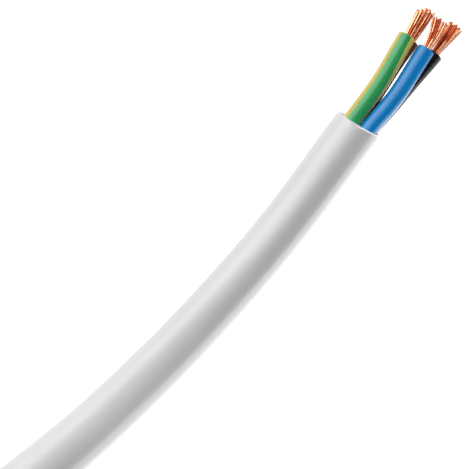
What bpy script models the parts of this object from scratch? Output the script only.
"""A tied coil of white four-core flexible cable, with its stripped free end lying beside it.

The coil lies flat on the floor. The cable peels off the top of its outermost column of turns,
comes down to the floor and ends in a square cut, from which the four stripped cores stand out.
Units are metres, +Z is up, and the origin is under the middle of the footprint.
"""
import math
from dataclasses import dataclass

import bmesh
import bpy
import numpy as np
from mathutils import Matrix, Vector

MM = 0.001
MERGE_DISTANCE = 0.001 * MM
TANGENT_STEP = 0.01 * MM

CLEARANCE = 0.3 * MM
ROUND_CLEARANCE = 0.2 * MM
CONDUCTOR_DIAMETER = 1.6 * MM
CONDUCTOR_TIP_DIAMETER = 2.4 * MM
CORE_DIAMETER = 3.1 * MM
CORE_PITCH = CORE_DIAMETER + CLEARANCE
CORE_REACH = CORE_PITCH / math.sqrt(2) + CORE_DIAMETER / 2
SHEATH_WALL = 0.45 * MM
SHEATH_DIAMETER = 2 * (CORE_REACH + ROUND_CLEARANCE + SHEATH_WALL)
STRIPPED_LENGTH = 18.0 * MM
BARE_LENGTH = 6.0 * MM

COIL_MEAN_DIAMETER = 102.4 * MM
COIL_COLUMNS = 4
COIL_LAYERS = 4
COIL_STEPS = 48
TURN_CREST_HALF_ANGLE = 22.5

TIE_ANGLES = (46.0, 166.0, 286.0)
TIE_WIDTH = 4.8 * MM
TIE_THICKNESS = 1.2 * MM
TIE_HEAD_LENGTH = 7.0 * MM
TIE_HEAD_WIDTH = 6.6 * MM
TIE_HEAD_HEIGHT = 4.4 * MM
TIE_NECK_SHARE = 0.9
TIE_CORNER_STEPS = 4

PEEL_ANGLE = -64.0
PEEL_LEAD_IN = 40.0
PEEL_HIDDEN_LENGTH = 24.0 * MM
SEAT_DEPTH = 6.0 * MM
CONDUCTOR_SEAT_DEPTH = 4.0 * MM
TUBE_RESOLUTION = 4
CORE_RESOLUTION = 3
POCKET_SEGMENTS = 24
BORE_SEGMENTS = 16

# Each stop is x and y in mm from where the cable peels off the coil, and its share of the
# drop from the top layer to the floor that is still to come.
FREE_ROUTE = (
    (26.4, 14.1, 0.98),
    (49.3, 28.4, 0.86),
    (70.5, 44.0, 0.58),
    (80.3, 51.8, 0.42),
    (88.7, 59.4, 0.27),
    (97.1, 67.6, 0.14),
    (105.8, 76.9, 0.05),
    (113.1, 85.3, 0.01),
    (119.7, 93.7, 0.00),
    (125.2, 101.2, 0.00),
    (129.5, 107.0, 0.00),
)


@dataclass(frozen=True)
class CoreShape:
    """One stripped core: its length, and how far across the cable it leads.

    The corner is the core's corner of the square in the sheath, as signs across and up. The
    lengths are shares of the stripped and the bare length, and the rest are core pitches across.
    """

    corner: tuple
    length_share: float
    bare_share: float
    middle_across: float
    end_across: float
    tip_across: float


CORES = {
    "green_yellow": CoreShape((-1, 1), 1.00, 0.97, -0.47, -0.62, -0.82),
    "blue": CoreShape((1, 1), 1.01, 0.98, 0.63, 0.57, 0.38),
    "brown": CoreShape((-1, -1), 1.04, 1.13, -0.35, -0.32, -0.32),
    "black": CoreShape((1, -1), 1.08, 1.03, 0.82, 1.09, 1.24),
}

CORE_COLOURS = {
    "green_yellow": (0.02, 0.28, 0.07, 1.0),
    "blue": (0.01, 0.13, 0.45, 1.0),
    "brown": (0.13, 0.04, 0.02, 1.0),
    "black": (0.01, 0.01, 0.012, 1.0),
}


def clear_scene():
    """Removes every object that the file starts with."""
    for thing in list(bpy.data.objects):
        bpy.data.objects.remove(thing, do_unlink=True)


def make_collection(name):
    """Returns a new collection under the scene."""
    collection = bpy.data.collections.new(name)
    bpy.context.scene.collection.children.link(collection)
    return collection


def make_material(name, colour, roughness, metallic=0.0):
    """Returns a Principled BSDF material."""
    material = bpy.data.materials.new(name)
    material.use_nodes = True
    shader = material.node_tree.nodes["Principled BSDF"]
    shader.inputs["Base Color"].default_value = colour
    shader.inputs["Roughness"].default_value = roughness
    shader.inputs["Metallic"].default_value = metallic
    return material


def add_object(name, data, collection, material=None):
    """Returns a new object in a collection, with its material."""
    thing = bpy.data.objects.new(name, data)
    collection.objects.link(thing)
    if material is not None:
        data.materials.append(material)
    return thing


def hide_as_cutter(thing):
    """Marks an object as a cutter, which is no part of the product."""
    thing.hide_render = True
    thing.display_type = "WIRE"


def add_boolean(target, cutter, operation="DIFFERENCE"):
    """Cuts or joins one object with another."""
    modifier = target.modifiers.new(operation.title() + " " + cutter.name, "BOOLEAN")
    modifier.operation = operation
    modifier.solver = "EXACT"
    modifier.object = cutter


def shade_round(mesh, sharp_degrees=40.0):
    """Shades a mesh smooth, with its corners kept sharp."""
    mesh.shade_smooth()
    mesh.set_sharp_from_angle(angle=math.radians(sharp_degrees))


def curve_to_mesh(thing):
    """Replaces a capped tube curve by a mesh object of the same name and place."""
    bpy.context.view_layer.update()
    graph = bpy.context.evaluated_depsgraph_get()
    mesh = bpy.data.meshes.new_from_object(thing.evaluated_get(graph))
    shape = bmesh.new()
    shape.from_mesh(mesh)
    bmesh.ops.remove_doubles(shape, verts=shape.verts, dist=MERGE_DISTANCE)
    bmesh.ops.recalc_face_normals(shape, faces=shape.faces)
    shape.to_mesh(mesh)
    shape.free()
    name = thing.name
    collection = thing.users_collection[0]
    place = thing.matrix_world.copy()
    bpy.data.objects.remove(thing, do_unlink=True)
    solid = bpy.data.objects.new(name, mesh)
    collection.objects.link(solid)
    solid.matrix_world = place
    shade_round(mesh)
    return solid


class SmoothRoute:
    """A natural cubic spline through stops, read by the distance along it."""

    def __init__(self, stops):
        self.stops = np.array([tuple(stop) for stop in stops], float)
        steps = np.linalg.norm(np.diff(self.stops, axis=0), axis=1)
        self.knots = np.concatenate([[0.0], np.cumsum(steps)])
        count = len(self.stops)
        matrix = np.eye(count)
        target = np.zeros((count, 3))
        for row in range(1, count - 1):
            before, after = steps[row - 1], steps[row]
            matrix[row, row - 1:row + 2] = before, 2 * (before + after), after
            slope_after = (self.stops[row + 1] - self.stops[row]) / after
            slope_before = (self.stops[row] - self.stops[row - 1]) / before
            target[row] = 6 * (slope_after - slope_before)
        self.bends = np.linalg.solve(matrix, target)
        self.length = self.knots[-1]

    def at(self, distance):
        """Returns the point at a distance from the first stop."""
        span = int(np.clip(np.searchsorted(self.knots, distance) - 1, 0, len(self.stops) - 2))
        width = self.knots[span + 1] - self.knots[span]
        right = (distance - self.knots[span]) / width
        left = 1 - right
        straight = left * self.stops[span] + right * self.stops[span + 1]
        bend = (left ** 3 - left) * self.bends[span] + (right ** 3 - right) * self.bends[span + 1]
        return Vector(straight + bend * width ** 2 / 6)

    def direction_at_end(self):
        """Returns the unit direction in which the route ends."""
        return (self.at(self.length) - self.at(self.length - TANGENT_STEP)).normalized()

    def between(self, start, spacing):
        """Returns evenly spaced points from a distance along the route to its end."""
        count = max(2, round((self.length - start) / spacing) + 1)
        return [self.at(distance) for distance in np.linspace(start, self.length, count)]


def make_tube(name, points, radius, resolution, collection, material=None, end_scale=None):
    """Returns a capped round tube through points, as a mesh object."""
    curve = bpy.data.curves.new(name, "CURVE")
    curve.dimensions = "3D"
    curve.bevel_depth = radius
    curve.bevel_resolution = resolution
    curve.use_fill_caps = True
    curve.twist_mode = "MINIMUM"
    spline = curve.splines.new("POLY")
    spline.points.add(len(points) - 1)
    for index, point in enumerate(points):
        spline.points[index].co = (*point, 1.0)
        if end_scale is not None:
            spline.points[index].radius = end_scale[index]
    solid = curve_to_mesh(add_object(name, curve, collection))
    if material is not None:
        solid.data.materials.append(material)
    return solid


def make_cylinder(name, centre, direction, radius, depth, segments, collection):
    """Returns a closed cylinder whose axis runs along a direction."""
    mesh = bpy.data.meshes.new(name)
    shape = bmesh.new()
    turn = Vector((0, 0, 1)).rotation_difference(direction).to_matrix().to_4x4()
    bmesh.ops.create_cone(
        shape, cap_ends=True, segments=segments, radius1=radius, radius2=radius, depth=depth,
        matrix=Matrix.Translation(centre) @ turn)
    shape.to_mesh(mesh)
    shape.free()
    return add_object(name, mesh, collection)


def coil_half_width():
    """Returns half the width of the coil's section, from its bore to its outside."""
    return COIL_COLUMNS * SHEATH_DIAMETER / 2


def coil_height():
    """Returns the height of the coil's section."""
    return COIL_LAYERS * SHEATH_DIAMETER


def coil_outer_turn_radius():
    """Returns the radius of the outermost column of turns, at the middle of the cable."""
    return COIL_MEAN_DIAMETER / 2 + coil_half_width() - SHEATH_DIAMETER / 2


def coil_top_turn_height():
    """Returns the height of the top layer of turns, at the middle of the cable."""
    return coil_height() - SHEATH_DIAMETER / 2


def scalloped_side(start, along, outward, turns, radius):
    """Returns the two crest corners of each turn on one side, and the valleys between them."""
    corner = radius * math.tan(math.radians(TURN_CREST_HALF_ANGLE))
    points = []
    for turn in range(turns):
        middle = start + along * (2 * turn * radius)
        if turn > 0:
            points.append(middle - along * radius + outward * corner)
        points.append(middle - along * corner + outward * radius)
        points.append(middle + along * corner + outward * radius)
    return points


def coil_outline(grow=0.0):
    """Returns the coil's section, in radius and height, down its outside first."""
    radius = SHEATH_DIAMETER / 2
    inner = COIL_MEAN_DIAMETER / 2 - coil_half_width() + radius
    outer = coil_outer_turn_radius()
    low = radius
    high = coil_top_turn_height()
    out, down = Vector((1, 0)), Vector((0, -1))
    points = scalloped_side(Vector((outer, high)), down, out, COIL_LAYERS, radius)
    points += scalloped_side(Vector((outer, low)), -out, down, COIL_COLUMNS, radius)
    points += scalloped_side(Vector((inner, low)), -down, -out, COIL_LAYERS, radius)
    points += scalloped_side(Vector((inner, high)), out, -down, COIL_COLUMNS, radius)
    if not grow:
        return points
    grown = []
    for index, point in enumerate(points):
        before = (point - points[index - 1]).normalized()
        after = (points[(index + 1) % len(points)] - point).normalized()
        normals = [Vector((-side.y, side.x)) for side in (before, after)]
        middle = (normals[0] + normals[1]).normalized()
        grown.append(point + middle * (grow / middle.dot(normals[0])))
    return grown


def make_turned_ring(name, outline, collection, material=None):
    """Returns a ring turned about +Z from a closed outline."""
    mesh = bpy.data.meshes.new(name)
    shape = bmesh.new()
    corners = [shape.verts.new((point.x, 0.0, point.y)) for point in outline]
    for index, corner in enumerate(corners):
        shape.edges.new((corner, corners[(index + 1) % len(corners)]))
    shape.to_mesh(mesh)
    shape.free()
    ring = add_object(name, mesh, collection, material)
    screw = ring.modifiers.new("Turn", "SCREW")
    screw.axis = "Z"
    screw.steps = COIL_STEPS
    screw.render_steps = COIL_STEPS
    screw.use_merge_vertices = True
    screw.merge_threshold = MERGE_DISTANCE
    screw.use_smooth_shade = False
    return ring


def rounded_rectangle(curve, half_width, half_height, corner_radius):
    """Adds a rounded rectangle to a flat curve."""
    points = []
    for quarter in range(4):
        sign_x = 1 if quarter in (0, 3) else -1
        sign_y = 1 if quarter in (0, 1) else -1
        middle_x = sign_x * (half_width - corner_radius)
        middle_y = sign_y * (half_height - corner_radius)
        for step in range(TIE_CORNER_STEPS + 1):
            angle = math.radians(90 * (quarter + step / TIE_CORNER_STEPS))
            points.append((middle_x + corner_radius * math.cos(angle),
                           middle_y + corner_radius * math.sin(angle)))
    spline = curve.splines.new("POLY")
    spline.points.add(len(points) - 1)
    for index, (x, y) in enumerate(points):
        spline.points[index].co = (x, y, 0.0, 1.0)
    spline.use_cyclic_u = True


def make_loop(name, inner, outer, width, angle, collection, material=None):
    """Returns a flat band round the coil's section at an angle, between two rectangles.

    Each rectangle is its half width, half height and corner radius.
    """
    curve = bpy.data.curves.new(name, "CURVE")
    curve.dimensions = "2D"
    curve.fill_mode = "BOTH"
    curve.extrude = width / 2
    rounded_rectangle(curve, *outer)
    rounded_rectangle(curve, *inner)
    band = add_object(name, curve, collection)
    upright = Matrix.Rotation(math.radians(90), 4, "X")
    middle = Matrix.Translation((COIL_MEAN_DIAMETER / 2, 0.0, coil_height() / 2))
    band.matrix_world = Matrix.Rotation(math.radians(angle), 4, "Z") @ middle @ upright
    solid = curve_to_mesh(band)
    if material is not None:
        solid.data.materials.append(material)
    return solid


def band_rectangle(depth):
    """Returns the rectangle that lies a depth inside the outside of the coil's section."""
    corner = max(SHEATH_DIAMETER / 2 - depth, CLEARANCE)
    return coil_half_width() - depth, coil_height() / 2 - depth, corner


def make_box(name, low_radius, high_radius, width, height, angle, collection):
    """Returns a box between two radii, half way up the coil, at an angle round its axis."""
    mesh = bpy.data.meshes.new(name)
    shape = bmesh.new()
    turn = Matrix.Rotation(math.radians(angle), 4, "Z")
    place = Matrix.Translation(((low_radius + high_radius) / 2, 0.0, coil_height() / 2))
    size = Matrix.Diagonal((high_radius - low_radius, width, height, 1.0))
    bmesh.ops.create_cube(shape, size=1.0, matrix=turn @ place @ size)
    shape.to_mesh(mesh)
    shape.free()
    return add_object(name, mesh, collection)


def make_tie(index, angle, product, cutters, material):
    """Returns the cutter of the seat that a tie presses into the coil, once the tie is made."""
    outside = CLEARANCE
    inside = outside + TIE_THICKNESS
    number = str(index + 1)
    tie = make_loop(
        "tie_" + number, band_rectangle(inside), band_rectangle(outside),
        TIE_WIDTH, angle, product, material)
    bore = COIL_MEAN_DIAMETER / 2 - coil_half_width()
    head_foot = bore - CLEARANCE
    head = make_box(
        "tie_head_" + number, head_foot - TIE_HEAD_HEIGHT, head_foot,
        TIE_HEAD_WIDTH, TIE_HEAD_LENGTH, angle, cutters)
    neck = make_box(
        "tie_neck_" + number, head_foot - TIE_HEAD_HEIGHT / 2, bore + outside + TIE_THICKNESS / 2,
        TIE_WIDTH * TIE_NECK_SHARE, TIE_HEAD_LENGTH * TIE_NECK_SHARE, angle, cutters)
    for joined in (head, neck):
        hide_as_cutter(joined)
        add_boolean(tie, joined, "UNION")
    seat = make_loop(
        "tie_seat_" + number, band_rectangle(inside + CLEARANCE), band_rectangle(-SHEATH_DIAMETER),
        TIE_WIDTH + 2 * CLEARANCE, angle, cutters)
    hide_as_cutter(seat)
    return seat


def peel_point(angle):
    """Returns a point on the top outermost turn at an angle in degrees."""
    turn = math.radians(angle)
    radius = coil_outer_turn_radius()
    return Vector((radius * math.cos(turn), radius * math.sin(turn), coil_top_turn_height()))


def free_end_route():
    """Returns the cable's middle line from just before it peels off the coil to its cut end."""
    lead_in = [peel_point(PEEL_ANGLE - PEEL_LEAD_IN * share) for share in (1.0, 0.75, 0.5, 0.25, 0.0)]
    peel = lead_in[-1]
    drop = coil_top_turn_height() - SHEATH_DIAMETER / 2
    stops = list(lead_in)
    for across, along, share in FREE_ROUTE:
        stops.append(Vector((peel.x + across * MM, peel.y + along * MM,
                             SHEATH_DIAMETER / 2 + share * drop)))
    return SmoothRoute(stops), len(lead_in) - 1


def make_free_end(product, cutters, material):
    """Returns the sheathed free end, and the place and direction of its cut."""
    route, peel_index = free_end_route()
    start = route.knots[peel_index] + PEEL_HIDDEN_LENGTH
    sheath = make_tube(
        "free_end", route.between(start, 2 * SHEATH_DIAMETER), SHEATH_DIAMETER / 2,
        TUBE_RESOLUTION, product, material)
    ring_room = make_turned_ring("coil_room", coil_outline(CLEARANCE), cutters)
    hide_as_cutter(ring_room)
    add_boolean(sheath, ring_room)
    cut = route.at(route.length)
    direction = route.direction_at_end()
    pocket = make_cylinder(
        "core_pocket", cut, direction, CORE_REACH + ROUND_CLEARANCE, 2 * SEAT_DEPTH,
        POCKET_SEGMENTS, cutters)
    hide_as_cutter(pocket)
    add_boolean(sheath, pocket)
    return cut, direction


def make_core(name, shape, cut, direction, product, cutters, insulation, copper):
    """Makes one stripped core: its insulation, and the conductor that stands out of it."""
    up = Vector((0, 0, 1))
    across = direction.cross(up).normalized()
    side, level = shape.corner
    height = level * CORE_PITCH / 2

    def place(along, pitches_across):
        return cut + direction * along + across * pitches_across * CORE_PITCH + up * height

    seat = -(SEAT_DEPTH - CLEARANCE)
    length = shape.length_share * STRIPPED_LENGTH
    corner = side / 2
    route = SmoothRoute([
        place(seat, corner), place(seat / 2, corner), place(0.0, corner),
        place(length / 2, shape.middle_across), place(length, shape.end_across)])
    core = make_tube(
        "core_" + name, route.between(0.0, CORE_DIAMETER), CORE_DIAMETER / 2,
        CORE_RESOLUTION, product, insulation)
    end = route.at(route.length)
    heading = route.direction_at_end()
    bore = make_cylinder(
        "conductor_bore_" + name, end, heading, CONDUCTOR_DIAMETER / 2 + ROUND_CLEARANCE,
        2 * CONDUCTOR_SEAT_DEPTH, BORE_SEGMENTS, cutters)
    hide_as_cutter(bore)
    add_boolean(core, bore)
    bare = shape.bare_share * BARE_LENGTH
    tip = place(length + bare, shape.tip_across)
    halfway = (end + heading * bare / 2 + (end + tip) / 2) / 2
    strand_route = SmoothRoute([
        end - heading * (CONDUCTOR_SEAT_DEPTH - CLEARANCE), end - heading * CONDUCTOR_SEAT_DEPTH / 2,
        end, halfway, tip])
    points = strand_route.between(0.0, CONDUCTOR_DIAMETER)
    flare = CONDUCTOR_TIP_DIAMETER / CONDUCTOR_DIAMETER - 1
    scales = []
    for point in points:
        out = max(0.0, (point - end).dot(heading) / bare)
        scales.append(1 + flare * min(out, 1.0))
    make_tube(
        "conductor_" + name, points, CONDUCTOR_DIAMETER / 2, CORE_RESOLUTION, product, copper, scales)


def centre_on_footprint(product, cutters):
    """Moves everything so that the origin lies under the middle of the product's footprint."""
    bpy.context.view_layer.update()
    graph = bpy.context.evaluated_depsgraph_get()
    corners = []
    for thing in product.objects:
        final = thing.evaluated_get(graph)
        corners += [final.matrix_world @ Vector(corner) for corner in final.bound_box]
    low = [min(corner[axis] for corner in corners) for axis in range(3)]
    high = [max(corner[axis] for corner in corners) for axis in range(3)]
    shift = Matrix.Translation((-(low[0] + high[0]) / 2, -(low[1] + high[1]) / 2, -low[2]))
    for collection in (product, cutters):
        for thing in collection.objects:
            thing.matrix_world = shift @ thing.matrix_world


def main():
    """Builds the coil, its ties, its free end and the four stripped cores."""
    clear_scene()
    product = make_collection("coil_of_electrical_wire")
    cutters = make_collection("cutters")
    sheath = make_material("white_sheath", (0.78, 0.78, 0.79, 1.0), 0.42)
    nylon = make_material("natural_nylon", (0.72, 0.71, 0.66, 1.0), 0.5)
    copper = make_material("bare_copper", (0.82, 0.36, 0.18, 1.0), 0.3, 1.0)

    coil = make_turned_ring("coil", coil_outline(), product, sheath)
    for index, angle in enumerate(TIE_ANGLES):
        add_boolean(coil, make_tie(index, angle, product, cutters, nylon))
    cut, direction = make_free_end(product, cutters, sheath)
    for name, shape in CORES.items():
        insulation = make_material(name + "_insulation", CORE_COLOURS[name], 0.35)
        make_core(name, shape, cut, direction, product, cutters, insulation, copper)
    centre_on_footprint(product, cutters)


main()
